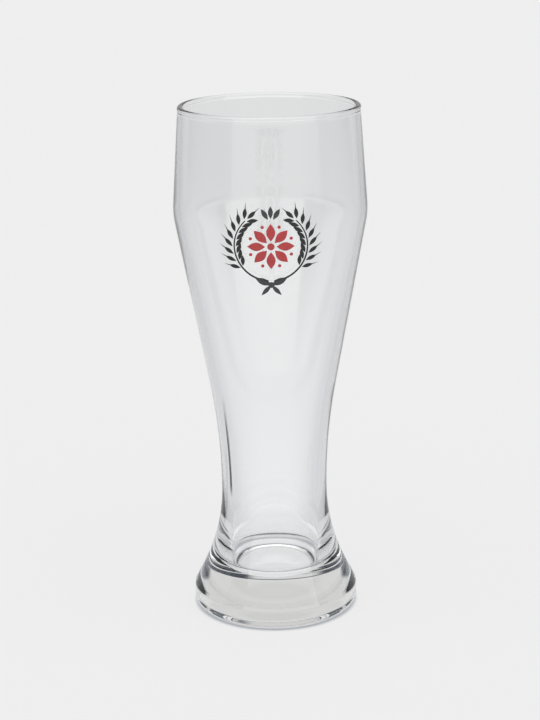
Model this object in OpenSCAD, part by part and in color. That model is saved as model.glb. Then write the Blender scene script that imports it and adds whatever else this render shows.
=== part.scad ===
// A tall half litre wheat beer glass in one piece of clear glass, with a fired enamel ornament on its bulge.
// Millimetres, +Z up. The origin is on the table, at the middle of the foot. The ornament faces -Y.
// The outline is a chain of corners, each rounded by its own radius. A width or height at a corner is
// measured where the two straight stretches beside it would meet.

/* [Outside] */
// Height of the glass from the table to the top of the rim
glass_h = 225; // [215:1:245]
// Width of the foot
foot_d = 73; // [68:0.5:80]
// Width of the neck
neck_d = 46.8; // [44:0.2:52]
// Width of the bowl at its bulge
bulge_d = 83.6; // [80:0.2:90]
// Width across the rim bead
rim_d = 77.8; // [74:0.2:80]
// Height of the edge where the side of the foot meets its slope
foot_edge_z = 8.8; // [7:0.2:11]
// Height where the slope of the foot meets the neck
neck_low_z = 34.5; // [30:0.5:40]
// Height where the neck meets the slope of the bowl
neck_high_z = 79.5; // [70:0.5:90]
// Height of the rim above the bulge
crown_h = 45.6; // [38:0.2:52]

/* [Inside] */
// Thickness of the glass under the cup
floor_t = 16; // [12:0.5:18]
// Width of the bottom of the cup
well_d = 36.6; // [32:0.2:39]
// Height of the place above the bottom of the cup where its lower end is widest
well_h = 6; // [5:0.5:9]
// Width of the cup at that place
well_top_d = 42; // [40:0.5:44]
// Height of the waist of the cup above the table
waist_z = 48; // [44:1:54]
// Wall of the neck at the waist of the cup
waist_wall = 4.7; // [3.5:0.1:5.5]
// Wall of the neck, at the height where it meets the bowl
neck_wall = 3.9; // [3:0.1:5]
// Wall of the bowl at its bulge
bulge_wall = 2.8; // [2:0.1:3.6]
// Wall just under the rim bead
rim_wall = 2.2; // [1.6:0.1:2.5]
// Thickness of the rounded bead along the rim
bead_d = 2.6; // [2.6:0.1:3.4]

/* [Underside] */
// Width of the shallow hollow under the foot
hollow_d = 56; // [55:0.5:57]
// Height of the hollow under the foot
hollow_h = 0.8; // [0.6:0.1:1.2]
// Width of the flat top of the hollow
hollow_flat_d = 50; // [44:0.5:51]

/* [Roundings] */
// Radius between the table and the side of the foot
heel_radius = 3; // [2:0.5:6]
// Radius of the edge of the foot
foot_edge_radius = 4; // [2:0.5:8]
// Radius of the sweep from the foot up into the neck
flare_radius = 88; // [50:1:110]
// Radius of the sweep from the neck up into the bowl
bowl_radius = 260; // [150:5:300]
// Radius of the bulge
bulge_radius = 35; // [20:1:60]
// Radius of the corner at the bottom of the cup
well_radius = 7; // [4:0.5:8]
// Radius of the bend where the lower end of the cup is widest
well_top_radius = 1.5; // [1:0.5:4]
// Radius of the waist of the cup
waist_radius = 150; // [100:5:180]
// Radius where the flat top of the hollow turns down
hollow_radius = 10; // [4:1:12]
// Radius where the hollow meets the table
hollow_edge_radius = 8; // [4:1:10]

/* [Ornament] */
// Thickness of the fired enamel
enamel_t = 0.12; // [0.08:0.01:0.3]
// Height of the bulge above the middle of the wreath
wreath_drop = 6.9; // [2:0.1:14]
// Radius of the ring that the two barley stems follow
wreath_radius = 15; // [14:0.2:18]
// Width of a barley stem at its foot
stem_w = 0.9; // [0.6:0.1:1.6]
// Length of a barley grain
grain_l = 4.8; // [3:0.1:6]
// Width of a barley grain
grain_w = 1.7; // [1:0.1:2.4]
// Length of the bristle on an outer grain
bristle_l = 2.8; // [1:0.1:5]
// Width of a bristle where it leaves its grain
bristle_w = 0.4; // [0.2:0.1:0.8]
// Gap between a stem and its grains
grain_gap = 0.2; // [0.1:0.05:0.4]
// Pairs of grains on each stem
grain_pairs = 8; // [4:1:9]
// Length of a petal of the rosette
petal_l = 7.4; // [4:0.1:9]
// Width of a petal of the rosette
petal_w = 3.7; // [2:0.1:4]
// Distance from the middle of the rosette to the foot of a petal
petal_start = 2.3; // [1.8:0.1:3]
// Number of petals on the rosette
petals = 8; // [5:1:9]
// Radius of the round eye of the rosette
eye_radius = 1.5; // [0.8:0.1:1.6]
// Radius of the dots between the petals
dot_radius = 0.7; // [0.4:0.1:1]
// Length of a loop of the bow under the wreath
loop_l = 7.2; // [4:0.1:9]
// Width of a loop of the bow
loop_w = 2.9; // [1.5:0.1:4]
// Length of a tail of the bow
tail_l = 6.2; // [3:0.1:8]
// Width of a tail of the bow
tail_w = 1.8; // [1:0.1:3]
// Radius of the knot of the bow
knot_radius = 1.3; // [0.8:0.1:2]
// Length of a drop above the rosette
drop_l = 5.2; // [3:0.1:7]
// Width of a drop above the rosette
drop_w = 2; // [1:0.1:3]

/* [Hidden] */

$fn = 96;

// Straight steps in each rounded corner, and round the rim bead
corner_steps = 10;
bead_steps = 18;
// Straight steps along each side of a grain, petal, loop or drop
leaf_steps = 7;
// Most of a straight stretch that the roundings at its two ends may take
stretch_share = 0.98;

// Directions on the wreath, measured round its middle from +X
stem_from = -86;
stem_to = 47;
grains_from = -40;
grains_to = 44;
// How far a grain leans out from its stem, and the bow and the drops from upright
grain_lean = 38;
loop_lean = 66;
tail_lean = 138;
drop_lean = 32;

bulge_z = glass_h - crown_h;
wreath_z = bulge_z - wreath_drop;

// The bead is a round section whose middle runs at this radius and height
bead_radius = bead_d / 2;
bead_r = rim_d / 2 - bead_radius;
bead_z = glass_h - bead_radius;
// Direction at which the wall comes out of the bead, and the height of that place
bead_turn = acos(rim_wall / bead_d);
rim_z = bead_z - bead_radius * sin(bead_turn);

// Corners of the outside, from the middle of the hollow to the rim, and of the inside, from the middle of
// the floor to the rim. Each is [distance from the axis, height, radius of its rounding].
outside_corners = [
    [0, hollow_h, 0],
    [hollow_flat_d / 2, hollow_h, hollow_radius],
    [hollow_d / 2, 0, hollow_edge_radius],
    [foot_d / 2, 0, heel_radius],
    [foot_d / 2, foot_edge_z, foot_edge_radius],
    [neck_d / 2, neck_low_z, flare_radius],
    [neck_d / 2, neck_high_z, bowl_radius],
    [bulge_d / 2, bulge_z, bulge_radius],
    [bead_r + rim_wall / 2, rim_z, 0],
];
inside_corners = [
    [0, floor_t, 0],
    [well_d / 2, floor_t, well_radius],
    [well_top_d / 2, floor_t + well_h, well_top_radius],
    [neck_d / 2 - waist_wall, waist_z, waist_radius],
    [neck_d / 2 - neck_wall, neck_high_z, bowl_radius - neck_wall],
    [bulge_d / 2 - bulge_wall, bulge_z, bulge_radius - bulge_wall],
    [bead_r - rim_wall / 2, rim_z, 0],
];

function unit(v) = v / norm(v);
function spot(corners, i) = [corners[i].x, corners[i].y];
function to_last(corners, i) = unit(spot(corners, i - 1) - spot(corners, i));
function to_next(corners, i) = unit(spot(corners, i + 1) - spot(corners, i));
function turned(v, a) = [v.x * cos(a) - v.y * sin(a), v.x * sin(a) + v.y * cos(a)];
function reversed(list) = [for (i = [len(list) - 1 : -1 : 0]) list[i]];

// Half of the angle between the two stretches at a corner
function half_angle(corners, i) = acos(to_last(corners, i) * to_next(corners, i)) / 2;
// How much of the stretches beside a corner its full rounding would take
function full_run(corners, i) =
    i == 0 || i == len(corners) - 1 ? 0 : corners[i].z / tan(half_angle(corners, i));
// Share of their full runs that the two roundings on the stretch after corner i can have
function room(corners, i) =
    let (stretch = stretch_share * norm(spot(corners, i + 1) - spot(corners, i)))
    stretch / max(stretch, full_run(corners, i) + full_run(corners, i + 1));
// Points of one rounded corner
function rounding(corners, i) =
    let (
        half = half_angle(corners, i),
        run = full_run(corners, i) * min(room(corners, i - 1), room(corners, i)),
        start = spot(corners, i) + run * to_last(corners, i),
        middle = spot(corners, i) + run / cos(half) * unit(to_last(corners, i) + to_next(corners, i)),
        side = sign(cross(to_next(corners, i), to_last(corners, i)))
    )
    [for (k = [0 : corner_steps]) middle + turned(start - middle, side * (180 - 2 * half) * k / corner_steps)];
// Points of a whole chain of corners
function outline(corners) = [
    for (i = [0 : len(corners) - 1])
        for (p = corners[i].z == 0 ? [spot(corners, i)] : rounding(corners, i)) p
];

outside = outline(outside_corners);
inside = outline(inside_corners);
bead = [
    for (k = [1 : bead_steps - 1])
        let (a = -bead_turn + (180 + 2 * bead_turn) * k / bead_steps)
        [bead_r + bead_radius * cos(a), bead_z + bead_radius * sin(a)]
];
bowl_outside = [for (p = outside) if (p.y > neck_high_z) p];

// One continuous wall, thick at the foot, thin at the rim
module glass()
    color([0.86, 0.89, 0.9, 0.4])
    rotate_extrude()
    polygon(concat(outside, bead, reversed(inside)));

// A flat shape, fired on the bowl as a thin layer that follows its outside
module enamel()
    intersection() {
        rotate_extrude()
        polygon(concat(bowl_outside, [for (p = reversed(bowl_outside)) p + [enamel_t, 0]]));

        translate([0, 0, wreath_z])
        rotate([90, 0, 0])
        linear_extrude(height = bulge_d)
        children();
    }

// A leaf from the origin along +X, pointed at both ends
module leaf(l, w)
    polygon(concat(
        [for (k = [0 : leaf_steps]) [l * k / leaf_steps, -w / 2 * sin(180 * k / leaf_steps)]],
        [for (k = [leaf_steps - 1 : -1 : 1]) [l * k / leaf_steps, w / 2 * sin(180 * k / leaf_steps)]]
    ));

// A stem along the wreath's ring, which narrows to half its width
module stem()
    let (steps = 4 * corner_steps)
    polygon([
        for (edge = [-1, 1])
            for (k = edge < 0 ? [0 : steps] : [steps : -1 : 0])
                let (
                    a = stem_from + (stem_to - stem_from) * k / steps,
                    r = wreath_radius + edge * stem_w / 2 * (1 - k / steps / 2)
                )
                [r * cos(a), r * sin(a)]
    ]);

// A grain points away from the place where it would grow out of the stem. An outer one carries a bristle.
module grain(bristled)
    translate([(stem_w / 2 + grain_gap) / sin(grain_lean), 0]) {
        leaf(grain_l, grain_w);

        if (bristled)
            translate([grain_l - bristle_w, 0])
            polygon([[0, -bristle_w / 2], [bristle_l + bristle_w, 0], [0, bristle_w / 2]]);
    }

module barley_stem()
    union() {
        stem();

        for (i = [0 : grain_pairs - 1])
            for (lean = [-grain_lean, grain_lean])
                rotate(grains_from + (grains_to - grains_from) * i / (grain_pairs - 1))
                translate([wreath_radius, 0])
                rotate(90 + lean)
                grain(lean < 0);

        rotate(stem_to)
        translate([wreath_radius, 0])
        rotate(90)
        grain(true);
    }

// Two stems of barley that meet at the bottom of the ring
module barley_wreath()
    color([0.13, 0.13, 0.15])
    enamel() {
        barley_stem();

        mirror([1, 0])
        barley_stem();
    }

module rosette()
    color([0.8, 0.2, 0.22])
    enamel() {
        circle(r = eye_radius);

        for (i = [0 : petals - 1])
            rotate(90 + 360 * i / petals) {
                translate([petal_start, 0])
                leaf(petal_l, petal_w);

                rotate(180 / petals)
                translate([petal_start + petal_l - dot_radius, 0])
                circle(r = dot_radius);
            }
    }

// A bow where the stems meet, and three drops in the gap between their tips
module bow_and_drops()
    color([0.27, 0.27, 0.29])
    enamel() {
        translate([0, -wreath_radius - stem_w / 2 - knot_radius]) {
            circle(r = knot_radius);

            for (side = [-1, 1]) {
                rotate(90 + side * loop_lean)
                leaf(loop_l, loop_w);

                rotate(90 + side * tail_lean)
                leaf(tail_l, tail_w);
            }
        }

        for (side = [-1, 0, 1])
            translate([0, petal_start + petal_l])
            rotate(90 + side * drop_lean)
            translate([drop_w, 0])
            leaf(drop_l, drop_w);
    }

glass();
barley_wreath();
rosette();
bow_and_drops();
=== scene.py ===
import math

import bpy
import numpy as np
from mathutils import Matrix


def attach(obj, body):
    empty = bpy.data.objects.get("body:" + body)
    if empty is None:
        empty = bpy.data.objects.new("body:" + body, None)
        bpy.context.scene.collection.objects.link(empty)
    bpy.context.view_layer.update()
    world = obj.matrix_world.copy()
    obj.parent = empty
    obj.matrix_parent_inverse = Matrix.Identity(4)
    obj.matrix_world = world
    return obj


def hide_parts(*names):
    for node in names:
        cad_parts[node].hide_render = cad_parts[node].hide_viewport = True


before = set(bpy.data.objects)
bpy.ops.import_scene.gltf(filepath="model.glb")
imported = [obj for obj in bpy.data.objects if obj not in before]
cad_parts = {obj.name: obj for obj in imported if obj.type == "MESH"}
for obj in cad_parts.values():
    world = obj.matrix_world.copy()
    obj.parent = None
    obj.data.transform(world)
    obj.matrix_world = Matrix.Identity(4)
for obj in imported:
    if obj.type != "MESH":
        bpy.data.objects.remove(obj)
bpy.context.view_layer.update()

mm = 0.001

# The glass: [distance from the axis, height, radius of the rounding] at each corner, in millimetres
glassShape = {
    "height": 225.0,
    "beadWidth": 2.6,
    "beadPoints": 80,
    "rimWidth": 77.8,
    "rimWall": 2.2,
    "outside": [
        [0.0, 0.8, 0.0], [25.0, 0.8, 10.0], [28.0, 0.0, 8.0], [36.5, 0.0, 3.0], [36.5, 8.8, 4.0],
        [23.4, 34.5, 86.5], [23.4, 79.5, 255.5], [41.8, 179.4, 35.0],
    ],
    "inside": [
        [0.0, 16.0, 0.0], [18.3, 16.0, 7.0], [21.0, 22.0, 1.5], [18.7, 48.0, 150.0], [19.5, 79.5, 256.1],
        [39.0, 179.4, 32.2],
    ],
    "roundIn": 320,        # faces round the glass
    "profilePoints": 280,
    "spacing": 0.05,       # of the points from which the outline is blended, mm
    "softening": 0.25,     # how far the curvature is blended along the outline, mm
    "bendWeight": 9.0,     # how strongly points gather where the outline turns
    "wander": 0.05,        # how far the blown inside wanders from round, mm
    "fadeUnderRim": 30.0,  # how far under the rim the wandering fades out, mm
    "fadeFrom": 26.0,      # height where it begins, mm
    "fadeOver": 20.0,      # height over which it grows, mm
}


def roundedChain(corners, steps=60):
    # Straight stretches joined by arcs. An arc of radius R at a corner with half angle h starts
    # R / tan(h) before the corner, and its centre lies R / sin(h) from the corner, on the line that
    # halves the angle.
    points = []
    places = np.array([c[:2] for c in corners])
    for i, (r, z, radius) in enumerate(corners):
        if radius == 0:
            points.append(places[i:i + 1])
            continue
        back = places[i - 1] - places[i]
        ahead = places[i + 1] - places[i]
        back, ahead = back / np.linalg.norm(back), ahead / np.linalg.norm(ahead)
        half = math.acos(back @ ahead) / 2
        start = back * radius / math.tan(half)
        middle = (back + ahead) / np.linalg.norm(back + ahead) * radius / math.sin(half)
        sweep = np.sign(ahead[0] * back[1] - ahead[1] * back[0]) * (math.pi - 2 * half)
        turn = np.linspace(0, sweep, steps)
        arm = start - middle
        points.append(places[i] + middle + np.stack([
            arm[0] * np.cos(turn) - arm[1] * np.sin(turn),
            arm[0] * np.sin(turn) + arm[1] * np.cos(turn)], axis=1))
    return np.concatenate(points)


def evenly(points, spacing):
    # The same line with points at an even spacing along it
    reach = np.concatenate([[0], np.cumsum(np.linalg.norm(np.diff(points, axis=0), axis=1))])
    keep = np.concatenate([[True], np.diff(reach) > 1e-9])
    along = np.linspace(0, reach[-1], int(reach[-1] / spacing) + 1)
    return np.stack([np.interp(along, reach[keep], points[keep, k]) for k in (0, 1)], axis=1)


def glassOutline(s):
    # Outside up, round the bead, inside down, in millimetres
    beadRadius = s["beadWidth"] / 2
    beadR, beadZ = s["rimWidth"] / 2 - beadRadius, s["height"] - beadRadius
    turn = math.acos(s["rimWall"] / s["beadWidth"])
    rimZ = beadZ - beadRadius * math.sin(turn)
    a = np.linspace(-turn, math.pi + turn, s["beadPoints"])[1:-1]
    outside = roundedChain(s["outside"] + [[beadR + s["rimWall"] / 2, rimZ, 0.0]])
    bead = np.stack([beadR + beadRadius * np.cos(a), beadZ + beadRadius * np.sin(a)], axis=1)
    inside = roundedChain(s["inside"] + [[beadR - s["rimWall"] / 2, rimZ, 0.0]])[::-1]
    line = evenly(np.concatenate([outside, bead, inside]), s["spacing"])
    # Each point becomes a mean of its neighbours, weighted by a bell curve
    reach = int(4 * s["softening"] / s["spacing"])
    weight = np.exp(-0.5 * (np.arange(-reach, reach + 1) * s["spacing"] / s["softening"]) ** 2)
    weight = weight / weight.sum()
    padded = np.pad(line, ((reach, reach), (0, 0)), mode="reflect", reflect_type="odd")
    soft = np.stack([np.convolve(padded[:, k], weight, mode="valid") for k in (0, 1)], axis=1)
    soft[[0, -1], 0] = 0.0
    # Points lie closer together where the line turns
    step = np.diff(soft, axis=0)
    heading = np.unwrap(np.arctan2(step[:, 1], step[:, 0]))
    bend = np.abs(np.diff(heading, prepend=heading[0]))
    effort = np.linalg.norm(step, axis=1) + s["bendWeight"] * bend
    effort = np.concatenate([[0], np.cumsum(effort)])
    even = np.linspace(0, effort[-1], s["profilePoints"])
    return np.stack([np.interp(even, effort, soft[:, k]) for k in (0, 1)], axis=1)


def meshPiece(name, vertices, quads, triangles=None):
    mesh = bpy.data.meshes.new(name)
    triangles = np.empty((0, 3), int) if triangles is None else triangles
    corners = np.concatenate([quads.ravel(), triangles.ravel()])
    sizes = np.concatenate([np.full(len(quads), 4), np.full(len(triangles), 3)])
    mesh.vertices.add(len(vertices))
    mesh.vertices.foreach_set("co", vertices.astype(np.float32).ravel())
    mesh.loops.add(len(corners))
    mesh.loops.foreach_set("vertex_index", corners.astype(np.int32))
    mesh.polygons.add(len(sizes))
    starts = np.concatenate([[0], np.cumsum(sizes)[:-1]])
    mesh.polygons.foreach_set("loop_start", starts.astype(np.int32))
    mesh.polygons.foreach_set("use_smooth", np.ones(len(sizes), bool))
    mesh.update(calc_edges=True)
    mesh.validate()
    piece = bpy.data.objects.new(name, mesh)
    bpy.context.collection.objects.link(piece)
    return piece


def ringQuads(ring, k, after, n):
    # Face (ring, k) joins points k and after on one ring of n points to the same ones on the next ring
    return np.stack([ring * n + k, ring * n + after, (ring + 1) * n + after, (ring + 1) * n + k], axis=2)


def revolved(name, outline, s):
    # Point (i, k) is the outline's point i turned by k steps round Z. The inside wall's distance from
    # the axis wanders by a few slow sine waves, which fade out at the floor and the rim.
    m, n = len(outline), s["roundIn"]
    turn = np.arange(n) * 2 * math.pi / n
    r, z = outline[1:-1, 0][:, None], outline[1:-1, 1][:, None]
    top = np.argmax(outline[:, 1])
    onInside = (np.arange(1, m - 1) > top)[:, None]
    belowRim = (outline[:, 1].max() - z) / s["fadeUnderRim"]
    aboveFloor = (z - s["fadeFrom"]) / s["fadeOver"]
    fade = onInside * np.clip(belowRim, 0, 1) * np.clip(aboveFloor, 0, 1)
    waves = (np.sin(2 * turn + 0.021 * z + 0.6) + 0.6 * np.sin(3 * turn - 0.033 * z + 2.1)
             + 0.35 * np.sin(5 * turn + 0.05 * z) + 0.3 * np.sin(0.09 * z + turn))
    r = r + s["wander"] * fade * waves
    rings = np.stack([r * np.cos(turn), r * np.sin(turn), z + 0 * turn], axis=2).reshape(-1, 3)
    vertices = np.concatenate([[[0, 0, outline[0, 1]]], rings, [[0, 0, outline[-1, 1]]]]) * mm
    ring, k = np.arange(m - 3)[:, None], np.arange(n)[None]
    after = (k + 1) % n
    quads = 1 + ringQuads(ring, k, after, n)
    k, after, last = k[0], after[0], len(vertices) - 1
    first = np.stack([0 * k, 1 + after, 1 + k], axis=1)
    end = np.stack([0 * k + last, last - n + k, last - n + after], axis=1)
    return meshPiece(name, vertices, quads.reshape(-1, 4), np.concatenate([first, end]))


# Short ways to build node trees
def nodeMaterial(name):
    material = bpy.data.materials.new(name)
    material.use_nodes = True
    tree = material.node_tree
    return material, tree, next(n for n in tree.nodes if n.type == "BSDF_PRINCIPLED")


def feed(tree, socket, value):
    if isinstance(value, bpy.types.NodeSocket):
        tree.links.new(value, socket)
    elif isinstance(value, tuple):
        socket.default_value = (*value, 1)[:len(socket.default_value)]
    else:
        socket.default_value = value


def maths(tree, kind, *values):
    node = tree.nodes.new("ShaderNodeMath")
    node.operation = kind
    for socket, value in zip(node.inputs, values):
        feed(tree, socket, value)
    return node.outputs[0]


def times(tree, first, second):
    return maths(tree, "MULTIPLY", first, second)


def oneMinus(tree, value):
    return maths(tree, "SUBTRACT", 1.0, value)


def spread(tree, value, fromRange, toRange=(0.0, 1.0), smooth=True):
    node = tree.nodes.new("ShaderNodeMapRange")
    node.interpolation_type = "SMOOTHSTEP" if smooth else "LINEAR"
    for name, number in zip(("From Min", "From Max", "To Min", "To Max"), (*fromRange, *toRange)):
        node.inputs[name].default_value = number
    tree.links.new(value, node.inputs["Value"])
    return node.outputs["Result"]


def within(tree, value, limits, soft):
    # 1 between the limits, 0 outside them
    start, end = limits
    return times(tree, spread(tree, value, (start - soft, start + soft)),
                 spread(tree, value, (end + soft, end - soft)))


def mixed(tree, factor, first, second):
    node = tree.nodes.new("ShaderNodeMix")
    node.data_type = "RGBA"
    feed(tree, node.inputs["Factor"], factor)
    for name, value in (("A", first), ("B", second)):
        feed(tree, next(i for i in node.inputs if i.name == name and i.type == "RGBA"), value)
    return next(o for o in node.outputs if o.type == "RGBA")


def multiplied(tree, first, second):
    product = mixed(tree, 1.0, first, second)
    product.node.blend_type = "MULTIPLY"
    return product


def objectNoise(tree, scale, detail=3.0, stretch=(1, 1, 1)):
    place = tree.nodes.new("ShaderNodeTexCoord")
    shape = tree.nodes.new("ShaderNodeMapping")
    shape.inputs["Scale"].default_value = stretch
    noise = tree.nodes.new("ShaderNodeTexNoise")
    noise.inputs["Scale"].default_value = scale
    noise.inputs["Detail"].default_value = detail
    tree.links.new(place.outputs["Object"], shape.inputs["Vector"])
    tree.links.new(shape.outputs["Vector"], noise.inputs["Vector"])
    return noise.outputs["Fac"]


def bumped(tree, height, strength, distance, shader):
    bump = tree.nodes.new("ShaderNodeBump")
    bump.inputs["Strength"].default_value = strength
    bump.inputs["Distance"].default_value = distance
    tree.links.new(height, bump.inputs["Height"])
    tree.links.new(bump.outputs["Normal"], shader.inputs["Normal"])


glassLook = {
    "tint": (0.984, 0.990, 0.993),
    "ior": 1.51,
    "filmScale": 45.0,     # of the patches in which the surface is a little less smooth
    "filmRange": (0.3, 0.7),
    "roughness": (0.0, 0.012),
    "rippleScale": 60.0,
    "rippleStretch": (1, 1, 0.35),
    "rippleStrength": 0.5,
    "rippleDepth": 0.00002,
}


def clearGlass(look):
    material, tree, shader = nodeMaterial("clearGlass")
    shader.inputs["Base Color"].default_value = (*look["tint"], 1)
    shader.inputs["Transmission Weight"].default_value = 1.0
    shader.inputs["IOR"].default_value = look["ior"]
    film = objectNoise(tree, look["filmScale"], 2.0)
    feed(tree, shader.inputs["Roughness"], spread(tree, film, look["filmRange"], look["roughness"]))
    ripple = objectNoise(tree, look["rippleScale"], 1.0, look["rippleStretch"])
    bumped(tree, ripple, look["rippleStrength"], look["rippleDepth"], shader)
    return material


outline = glassOutline(glassShape)
glassPiece = revolved("glassBody", outline, glassShape)
glassPiece.data.materials.append(clearGlass(glassLook))
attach(glassPiece, "root")
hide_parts("glass")
print("glass made", len(glassPiece.data.polygons), "faces")

# The ornament is drawn flat, as strokes: a path and its half width along it. Each stroke becomes a
# thin raised film on the outside of the bowl, which faces -Y. Millimetres and degrees.
ornament = {
    "middle": 172.5,       # height of the middle of the wreath
    "wallFrom": 90.0,      # the outline above this height carries the film
    "proud": 0.10,         # how far the enamel stands out
    "sunk": 0.04,          # how far it reaches into the glass, so that no gap shows
    "thinBelow": 0.15,     # a stroke is thinner where its half width is less than this
    "sideSquare": 0.8,     # powers below 1 draw a stroke's round section towards a square
    "riseSquare": 0.45,
    "pathPoints": 36,
    "ringPoints": 16,
    "wreath": {
        "radius": 15.0, "stem": 0.9, "from": -86, "to": 47,
        "grainsFrom": -40, "grainsTo": 44, "pairs": 8, "lean": 38, "gap": 0.2,
        "grain": (4.8, 1.7), "bristle": (2.8, 0.4),      # length and width
    },
    "rosette": {"petals": 8, "start": 2.3, "petal": (7.4, 3.7), "eye": 1.5, "dot": 0.7},
    "bow": {"knot": 1.3, "loop": (7.2, 2.9, 66), "tail": (6.2, 1.8, 138)},   # length, width, lean
    "drops": {"size": (5.2, 2.0), "lean": 32, "away": 2.0},
}

# Places along a stroke, closer together at its ends
along = (1 - np.cos(np.linspace(0, math.pi, ornament["pathPoints"]))) / 2


def leafStroke(length, width):
    # From the origin along +X. The half width is half of a sine wave.
    return np.stack([length * along, 0 * along], axis=1), width / 2 * np.sin(math.pi * along)


def discStroke(radius):
    # The path is a diameter. At the share a along it the half width is the chord's, 2 R sqrt(a (1 - a)).
    path = np.stack([radius * (2 * along - 1), 0 * along], axis=1)
    return path, 2 * radius * np.sqrt(along * (1 - along))


def bristleStroke(length, width, start, roundShare=0.03):
    # A long thin wedge that starts round
    beginning = np.sqrt(np.clip(along / roundShare, 0, 1))
    path = np.stack([start + length * along, 0 * along], axis=1)
    return path, width / 2 * (1 - along) * beginning


def stemStroke(s, roundShare=0.012):
    # Along an arc, narrowing to half its width, with rounded ends
    a = np.radians(s["from"] + (s["to"] - s["from"]) * along)
    ends = np.sqrt(np.clip(np.minimum(along, 1 - along) / roundShare, 0, 1))
    path = s["radius"] * np.stack([np.cos(a), np.sin(a)], axis=1)
    return path, s["stem"] / 2 * (1 - along / 2) * ends


def placed(stroke, shift=(0.0, 0.0), turn=0.0):
    # The stroke moved, then turned round the origin
    path, half = stroke
    a = math.radians(turn)
    return (path + shift) @ np.array([[math.cos(a), math.sin(a)], [-math.sin(a), math.cos(a)]]), half


def wreathStrokes(s):
    # One stem with its pairs of grains and the grain at its tip, then the same mirrored. The outer
    # grains and the one at the tip carry a bristle, which starts inside the grain's tip.
    strokes = [stemStroke(s)]
    away = (s["stem"] / 2 + s["gap"]) / math.sin(math.radians(s["lean"]))
    grain = leafStroke(*s["grain"])
    bristle = bristleStroke(*s["bristle"], s["grain"][0] - s["bristle"][1])
    places = [(turn, lean) for turn in np.linspace(s["grainsFrom"], s["grainsTo"], s["pairs"])
              for lean in (-s["lean"], s["lean"])]
    for turn, lean in places + [(s["to"], 0)]:
        for part in [grain, bristle] if lean <= 0 else [grain]:
            leaning = placed(placed(part, (away, 0)), turn=90 + lean)
            strokes.append(placed(leaning, (s["radius"], 0), turn))
    return strokes + [(path * (-1, 1), half) for path, half in strokes]


def rosetteStrokes(s):
    strokes = [discStroke(s["eye"])]
    dotAt = (s["start"] + s["petal"][0] - s["dot"], 0)
    for i in range(s["petals"]):
        turn = 90 + 360 * i / s["petals"]
        strokes.append(placed(leafStroke(*s["petal"]), (s["start"], 0), turn))
        strokes.append(placed(discStroke(s["dot"]), dotAt, turn + 180 / s["petals"]))
    return strokes


def bowStrokes(bow, drops, wreath, rosette):
    strokes = [discStroke(bow["knot"])]
    for length, width, lean in (bow["loop"], bow["tail"]):
        strokes += [placed(leafStroke(length, width), turn=90 + side * lean) for side in (-1, 1)]
    knotAt = np.array((0, -wreath["radius"] - wreath["stem"] / 2 - bow["knot"]))
    strokes = [(path + knotAt, half) for path, half in strokes]
    dropsAt = np.array((0, rosette["start"] + rosette["petal"][0]))
    for side in (-1, 0, 1):
        drop = leafStroke(*drops["size"])
        path, half = placed(drop, (drops["away"], 0), 90 + side * drops["lean"])
        strokes.append((path + dropsAt, half))
    return strokes


def filmPiece(name, strokes, outline, s):
    # Each ring of a stroke is a flat rounded loop across its path: half width * cos across it, and half
    # thickness * sin out of the drawing, both drawn towards a square. Its point (u, v, out) then goes to
    # the bowl: x = u, z = middle + v, y = -sqrt(R(z)^2 - u^2), moved by out along the bowl's normal.
    path = np.stack([p for p, _ in strokes])
    half = np.stack([h for _, h in strokes])
    ahead = np.gradient(path, axis=1)
    ahead /= np.linalg.norm(ahead, axis=2, keepdims=True)
    across = np.stack([-ahead[..., 1], ahead[..., 0]], axis=2)
    turn = np.arange(s["ringPoints"]) * 2 * math.pi / s["ringPoints"]
    side = np.sign(np.cos(turn)) * np.abs(np.cos(turn)) ** s["sideSquare"]
    rise = np.sign(np.sin(turn)) * np.abs(np.sin(turn)) ** s["riseSquare"]
    flat = path[:, :, None] + (half[:, :, None] * side)[..., None] * across[:, :, None]
    thick = (s["proud"] + s["sunk"]) / 2 * np.sqrt(np.clip(half / s["thinBelow"], 0, 1))
    core = (s["proud"] - s["sunk"]) / 2
    out = core + thick[:, :, None] * rise
    # The two ends of a stroke are single points
    points = np.concatenate([flat[:, 1:-1].reshape(len(path), -1, 2), path[:, [0, -1]]], axis=1)
    lift = np.concatenate([out[:, 1:-1].reshape(len(path), -1), np.full((len(path), 2), core)], axis=1)
    top = np.argmax(outline[:, 1])
    wall = outline[:top][outline[:top, 1] > s["wallFrom"]]
    z = s["middle"] + points[..., 1]
    radius = np.interp(z, wall[:, 1], wall[:, 0])
    slope = np.interp(z, wall[:, 1], np.gradient(wall[:, 0], wall[:, 1]))
    x, y = points[..., 0], -np.sqrt(radius ** 2 - points[..., 0] ** 2)
    normal = np.stack([x / radius, y / radius, -slope], axis=2)
    normal /= np.linalg.norm(normal, axis=2, keepdims=True)
    vertices = (np.stack([x, y, z], axis=2) + normal * lift[..., None]) * mm
    m, n = s["pathPoints"] - 2, s["ringPoints"]
    ring, k = np.arange(m - 1)[:, None], np.arange(n)[None]
    after = (k + 1) % n
    quads = ringQuads(ring, k, after, n)
    k, after, last = k[0], after[0], (m - 1) * n
    triangles = np.concatenate([np.stack([0 * k + m * n, after, k], axis=1),
                                np.stack([0 * k + m * n + 1, last + k, last + after], axis=1)])
    offset = np.arange(len(path))[:, None, None] * (m * n + 2)
    quads = (quads.reshape(1, -1, 4) + offset).reshape(-1, 4)
    triangles = (triangles[None] + offset).reshape(-1, 3)
    return meshPiece(name, vertices.reshape(-1, 3), quads, triangles)


enamelLook = {
    "mottleScale": 900.0,
    "mottle": 0.88,        # the darker patches, as a share of the colour
    "mottleRange": (0.35, 0.65),
    "sheenScale": 300.0,   # of the patches that are more or less glossy
    "sheenRange": (0.3, 0.7),
    "roughness": (0.22, 0.38),
    "ior": 1.5,
    "grainScale": 2600.0,
    "grainStrength": 0.4,
    "grainDepth": 0.000012,
}


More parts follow.
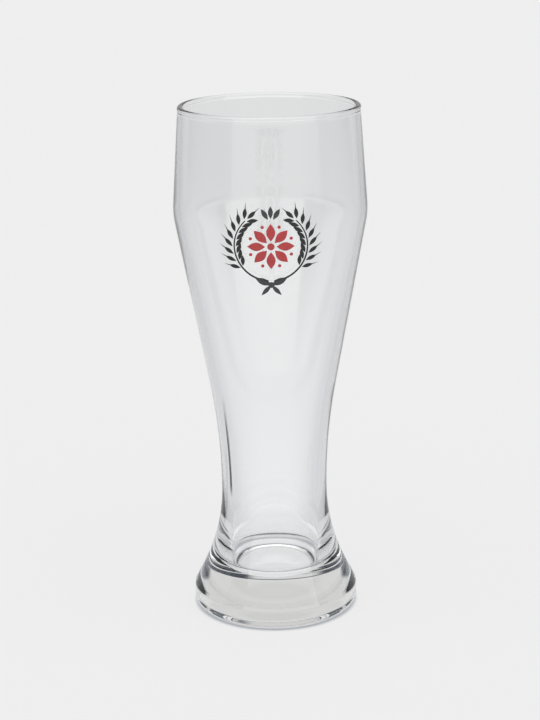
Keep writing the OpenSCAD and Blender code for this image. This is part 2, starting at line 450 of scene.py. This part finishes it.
def firedEnamel(name, color, look):
    material, tree, shader = nodeMaterial(name)
    darker = tuple(c * look["mottle"] for c in color)
    patches = spread(tree, objectNoise(tree, look["mottleScale"], 3.0), look["mottleRange"])
    feed(tree, shader.inputs["Base Color"], mixed(tree, patches, darker, color))
    sheen = objectNoise(tree, look["sheenScale"], 2.0)
    feed(tree, shader.inputs["Roughness"], spread(tree, sheen, look["sheenRange"], look["roughness"]))
    shader.inputs["IOR"].default_value = look["ior"]
    grain = objectNoise(tree, look["grainScale"], 2.0)
    bumped(tree, grain, look["grainStrength"], look["grainDepth"], shader)
    return material


enamels = [
    ("wreathEnamel", "barley_wreath", "black_enamel", (0.016, 0.016, 0.017),
     wreathStrokes(ornament["wreath"])),
    ("rosetteEnamel", "rosette", "red_enamel", (0.50, 0.050, 0.055),
     rosetteStrokes(ornament["rosette"])),
    ("bowEnamel", "bow_and_drops", "grey_enamel", (0.050, 0.050, 0.054),
     bowStrokes(ornament["bow"], ornament["drops"], ornament["wreath"], ornament["rosette"])),
]
for name, node, slot, color, strokes in enamels:
    piece = filmPiece(name, strokes, outline, ornament)
    piece.data.materials.append(firedEnamel(slot.replace("_e", "E"), color, enamelLook))
    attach(piece, "root")
    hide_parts(node)
    print("ornament made", name, len(strokes), "strokes")

# The room: a pale table top, and a studio that is only light. Metres and degrees. Directions are seen
# from the glass. Facing is -1 to the front, -Y, and 1 to the back, and azimuth is counted from there
# towards +X.
room = {
    "pale": (0.863, 0.863, 0.863),   # the table and what lies behind it, as the camera sees them
    "tableReach": 14.0,
    "glow": 0.85,          # share of the table's tone that takes no shadow, as the camera sees it
    "glowInGlass": 0.85,   # and in reflections and through glass
    # Painted contact shadow: a dark ring on the table where the foot stands
    "paintedContactShadow": {"ring": (0.0288, 0.0308), "soft": 0.0008, "share": 0.20},
    # Painted bluish shadow on the table close round the foot
    "paintedHaloShadow": {"ring": (0.0335, 0.0362), "soft": 0.0015, "share": (0.50, 0.53, 0.57)},
    # Painted shade, as of light falling off: distances between which the table darkens, and the share of
    # its tone that is left
    "shade": [(0.15, 0.80, 0.87), (1.2, 2.4, 0.30)],
    # Facing and azimuths where the far table stays bright, free of the painted shade
    "sweep": [(-1, (-47, 63)), (1, (-62, 62))],
    "sweepSoft": 2.0,
    # Painted shade, seen in the glass: the table is darker to both sides behind it, as light falls off,
    # and, in part, under it, as a painted shadow of the foot
    "falloff": {
        "azimuth": (6, 34), "front": (110, 150), "share": (0.79, 0.80, 0.82),
        "under": (0.10, 0.04), "underPart": 0.4,
    },
    # Painted shade: a small dark patch on the table beside the glass, which only the glass shows
    "paintedDarkPatch": {
        "azimuth": (-64, -55.3), "soft": 1.4, "reach": (0.14, 0.188), "edge": 0.008,
        "color": (0.03, 0.035, 0.04),
    },
}
studio = {
    "low": (0.11, 0.12, 0.135),
    "high": (1.65, 1.65, 1.64),
    "rise": (12.0, 55.0),      # elevations between which the light grows
    "horizon": (5.0, 2.0),     # elevations between which the glass begins to show the pale backdrop
    "tones": {
        "front": (1.5, 1.5, 1.48), "back": (0.635, 0.63, 0.622), "side": (0.55, 0.56, 0.57),
        "strip": (0.15, 0.165, 0.18), "dark": (0.035, 0.045, 0.06),
    },
    # Each panel: facing, azimuths, their softness, elevations, their softness, flatness and tone
    "panels": [
        (-1, (-47, 63), 2.0, (3, 24), 2.0, 0.0, "front"),
        (1, (-65, 65), 4.0, (-10, 75), 4.0, 0.0, "back"),
        (-1, (78, 122), 3.0, (-10, 52), 3.0, 0.0, "side"),
        (-1, (-122, -78), 3.0, (-10, 52), 3.0, 0.0, "side"),
        (1, (-80, 80), 0.7, (26.8, 31), 0.7, 0.33, "strip"),
        (1, (15, 80), 5.0, (26.8, 44), 0.7, 0.33, "dark"),
        (1, (-80, -29), 5.0, (26.8, 44), 0.7, 0.33, "dark"),
    ],
}


def parted(tree, vector):
    parts = tree.nodes.new("ShaderNodeSeparateXYZ")
    tree.links.new(vector, parts.inputs["Vector"])
    return list(parts.outputs)


def flatDistance(tree, x, y):
    return maths(tree, "SQRT", maths(tree, "ADD", times(tree, x, x), times(tree, y, y)))


def azimuthFrom(tree, facing, x, y):
    # Degrees towards +X, counted from -Y or, where facing is 1, from +Y
    return maths(tree, "DEGREES", maths(tree, "ARCTAN2", x, times(tree, y, float(facing))))


def lightPath(tree):
    return tree.nodes.new("ShaderNodeLightPath").outputs


def plainTable(s):
    square = np.array([[-1.0, -1.0, 0.0], [1.0, -1.0, 0.0], [1.0, 1.0, 0.0], [-1.0, 1.0, 0.0]])
    corners = s["tableReach"] * square
    table = meshPiece("tableTop", corners, np.array([[0, 1, 2, 3]]))
    material, tree, shader = nodeMaterial("paleTable")
    x, y, _ = parted(tree, tree.nodes.new("ShaderNodeTexCoord").outputs["Object"])
    far = flatDistance(tree, x, y)
    path = lightPath(tree)
    offCamera = oneMinus(tree, path["Is Camera Ray"])
    # Painted shade: the tone falls with the distance, less so on the sweeps, and not where the camera
    # sees the table
    (nearFrom, nearTo, nearShare), (farFrom, farTo, farShare) = s["shade"]
    tone = spread(tree, far, (nearFrom, nearTo), (1.0, nearShare), smooth=False)
    dim = spread(tree, far, (farFrom, farTo))
    for facing, azimuths in s["sweep"]:
        bright = within(tree, azimuthFrom(tree, facing, x, y), azimuths, s["sweepSoft"])
        dim = times(tree, dim, oneMinus(tree, bright))
    tone = times(tree, tone, oneMinus(tree, times(tree, dim, 1 - farShare)))
    tone = maths(tree, "MAXIMUM", tone, path["Is Camera Ray"])
    # Painted contact shadow: a dark ring on the table where the foot stands
    paintedContactShadow = s["paintedContactShadow"]
    ring = times(tree, within(tree, far, paintedContactShadow["ring"], paintedContactShadow["soft"]), 1 - paintedContactShadow["share"])
    tone = times(tree, tone, oneMinus(tree, ring))
    # Painted bluish shadow round the foot, which the camera sees too
    paintedHaloShadow = s["paintedHaloShadow"]
    shaded = tuple(p * share for p, share in zip(s["pale"], paintedHaloShadow["share"]))
    color = mixed(tree, within(tree, far, paintedHaloShadow["ring"], paintedHaloShadow["soft"]), s["pale"], shaded)
    # Painted shade, off the camera only: darker to both sides behind the glass, and a painted shadow
    # under the foot
    falloff = s["falloff"]
    azimuth = azimuthFrom(tree, 1, x, y)
    fromBack = maths(tree, "ABSOLUTE", azimuth)
    aside = times(tree, spread(tree, fromBack, falloff["azimuth"]),
                  spread(tree, fromBack, falloff["front"], (1.0, 0.0)))
    under = spread(tree, far, falloff["under"])
    aside = maths(tree, "ADD", times(tree, aside, oneMinus(tree, under)),
                  times(tree, under, falloff["underPart"]))
    share = mixed(tree, times(tree, aside, offCamera), (1.0, 1.0, 1.0), falloff["share"])
    color = multiplied(tree, color, share)
    # Painted shade: a dark patch on the table that only the glass shows
    paintedDarkPatch = s["paintedDarkPatch"]
    onPaintedDarkPatch = times(tree, within(tree, azimuth, paintedDarkPatch["azimuth"], paintedDarkPatch["soft"]),
                   within(tree, far, paintedDarkPatch["reach"], paintedDarkPatch["edge"]))
    color = mixed(tree, times(tree, onPaintedDarkPatch, offCamera), color, paintedDarkPatch["color"])
    # The tone, with its painted shade and painted contact shadow, darkens the colour
    color = mixed(tree, tone, (0.0, 0.0, 0.0), color)
    shader.inputs["Roughness"].default_value = 1.0
    shader.inputs["Specular IOR Level"].default_value = 0.0
    feed(tree, shader.inputs["Base Color"], color)
    # A share of the table's tone is its own light, so that the backdrop stays pale round the shadow
    glow = tree.nodes.new("ShaderNodeEmission")
    feed(tree, glow.inputs["Color"], color)
    blend = tree.nodes.new("ShaderNodeMixShader")
    inGlass = maths(tree, "MAXIMUM", path["Is Glossy Ray"], path["Is Transmission Ray"])
    glowing = maths(tree, "MAXIMUM", times(tree, path["Is Camera Ray"], s["glow"]),
                    times(tree, inGlass, s["glowInGlass"]))
    feed(tree, blend.inputs["Fac"], glowing)
    tree.links.new(shader.outputs[0], blend.inputs[1])
    tree.links.new(glow.outputs[0], blend.inputs[2])
    end = next(n for n in tree.nodes if n.type == "OUTPUT_MATERIAL")
    tree.links.new(blend.outputs[0], end.inputs["Surface"])
    table.data.materials.append(material)
    return table


def studioWorld(s, pale):
    world = bpy.data.worlds.new("studio")
    world.use_nodes = True
    tree = world.node_tree
    x, y, z = parted(tree, tree.nodes.new("ShaderNodeTexCoord").outputs["Generated"])
    elevation = maths(tree, "DEGREES", maths(tree, "ARCSINE", z))
    level = flatDistance(tree, x, y)
    color = mixed(tree, spread(tree, elevation, s["rise"]), s["low"], s["high"])
    for facing, azimuths, softAside, elevations, soft, flatness, tone in s["panels"]:
        # The flatness is the share of the distance that is measured straight back, as to a flat wall
        away = maths(tree, "ADD", times(tree, level, 1 - flatness),
                     times(tree, maths(tree, "ABSOLUTE", y), flatness))
        rise = maths(tree, "DEGREES", maths(tree, "ARCTAN2", z, away))
        azimuth = azimuthFrom(tree, facing, x, y)
        inPanel = times(tree, within(tree, azimuth, azimuths, softAside),
                        within(tree, rise, elevations, soft))
        color = mixed(tree, inPanel, color, s["tones"][tone])
    path = lightPath(tree)
    horizon = times(tree, path["Is Transmission Ray"], spread(tree, elevation, s["horizon"]))
    color = mixed(tree, maths(tree, "MAXIMUM", path["Is Camera Ray"], horizon), color, pale)
    ground = next(n for n in tree.nodes if n.type == "BACKGROUND")
    feed(tree, ground.inputs["Color"], color)
    bpy.context.scene.world = world


plainTable(room)
studioWorld(studio, room["pale"])
print("room made", len(studio["panels"]), "panels")

# The camera stands where the photograph was taken from. Metres and degrees.
view = {
    "distance": 0.7426,
    "height": 0.3294,
    "tilt": 16.27,
    "roll": -0.86,
    "turn": 0.0865,
    "focalPixels": 1762.2,
    "frameHeight": 720,        # in pixels
    "sensorHeight": 36.0,      # in millimetres
    "clip": (0.01, 100.0),
}


def placeCamera(s):
    data = bpy.data.cameras.new("camera")
    data.sensor_fit = "VERTICAL"
    data.sensor_height = s["sensorHeight"]
    data.lens = s["focalPixels"] * s["sensorHeight"] / s["frameHeight"]
    data.clip_start, data.clip_end = s["clip"]
    camera = bpy.data.objects.new("camera", data)
    bpy.context.collection.objects.link(camera)
    camera.matrix_world = (Matrix.Translation((0, -s["distance"], s["height"]))
                           @ Matrix.Rotation(math.radians(s["turn"]), 4, "Z")
                           @ Matrix.Rotation(math.radians(90 - s["tilt"]), 4, "X")
                           @ Matrix.Rotation(math.radians(s["roll"]), 4, "Z"))
    bpy.context.scene.camera = camera


placeCamera(view)
bpy.context.scene.view_settings.view_transform = "Standard"
